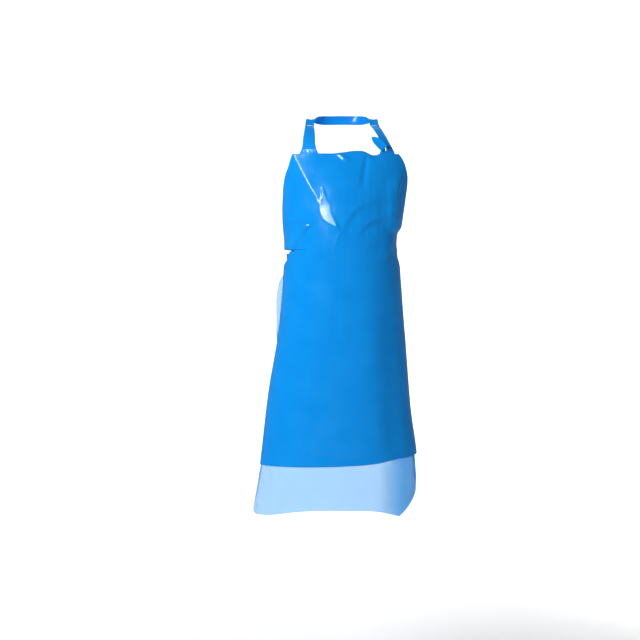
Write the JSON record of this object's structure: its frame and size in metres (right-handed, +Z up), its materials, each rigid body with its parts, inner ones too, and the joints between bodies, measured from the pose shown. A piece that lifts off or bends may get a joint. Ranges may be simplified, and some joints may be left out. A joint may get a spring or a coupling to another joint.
{
  "type": "butcher apron",
  "caption": "Two-ply plastic film butcher's apron in its worn shape: bib with shoulder tabs, neck strap, swinging skirt with a clear lower band, and waist ties in a bow.",
  "frame": {"origin": "middle of the nape, on the inner face of the neck strap, where the wearer's neck carries the apron", "axes": "+Z up, -Y towards the front of the apron, +X towards the right of someone looking at its front"},
  "size_m": [0.5248, 0.2742, 1.2755],
  "materials": {
    "opaque_film": "smooth glossy blue polyurethane film",
    "clear_film": "smooth translucent pale blue film",
    "tie_film": "gathered glossy blue film"
  },
  "bodies": {
    "neck_loop": {"neck_strap": "opaque_film"},
    "bib": {"bib_panel": "opaque_film", "bib_liner": "clear_film", "waist_tie_left": "tie_film", "waist_tie_right": "tie_film", "bow_knot": "tie_film"},
    "skirt": {"skirt_panel": "opaque_film", "skirt_liner": "clear_film"},
    "lower_band": {"hem_band": "clear_film"},
    "left_loop": {"bow_loop_left": "tie_film"},
    "right_loop": {"bow_loop_right": "tie_film"},
    "left_tail": {"tie_tail_left": "tie_film"},
    "right_tail": {"tie_tail_right": "tie_film"},
    "strap_end": {"strap_tail": "opaque_film"}
  },
  "joints": [
    {"name": "bib_swing", "type": "hinge", "parent": "neck_loop", "child": "bib", "pos_m": [0, -0.068, -0.022], "axis": [-1, 0, 0], "range_deg": [0, 60]},
    {"name": "skirt_swing", "type": "hinge", "parent": "bib", "child": "skirt", "pos_m": [0, -0.15386, -0.514], "axis": [-1, 0, 0], "range_deg": [-8, 25]},
    {"name": "band_swing", "type": "hinge", "parent": "skirt", "child": "lower_band", "pos_m": [0, -0.152, -1.099], "axis": [-1, 0, 0], "range_deg": [-20, 20]},
    {"name": "left_loop_swing", "type": "hinge", "parent": "bib", "child": "left_loop", "pos_m": [0, 0.035, -0.44], "axis": [1, 0, 0], "range_deg": [0, 70]},
    {"name": "right_loop_swing", "type": "hinge", "parent": "bib", "child": "right_loop", "pos_m": [0, 0.035, -0.44], "axis": [1, 0, 0], "range_deg": [0, 70]},
    {"name": "left_tail_swing", "type": "hinge", "parent": "bib", "child": "left_tail", "pos_m": [0, 0.035, -0.44], "axis": [1, 0, 0], "range_deg": [0, 70]},
    {"name": "right_tail_swing", "type": "hinge", "parent": "bib", "child": "right_tail", "pos_m": [0, 0.035, -0.44], "axis": [1, 0, 0], "range_deg": [0, 70]},
    {"name": "strap_end_slide", "type": "slide", "parent": "bib", "child": "strap_end", "axis": [-0.7168, -0.1195, 0.6869], "range_m": [0, 0.018]}
  ]
}
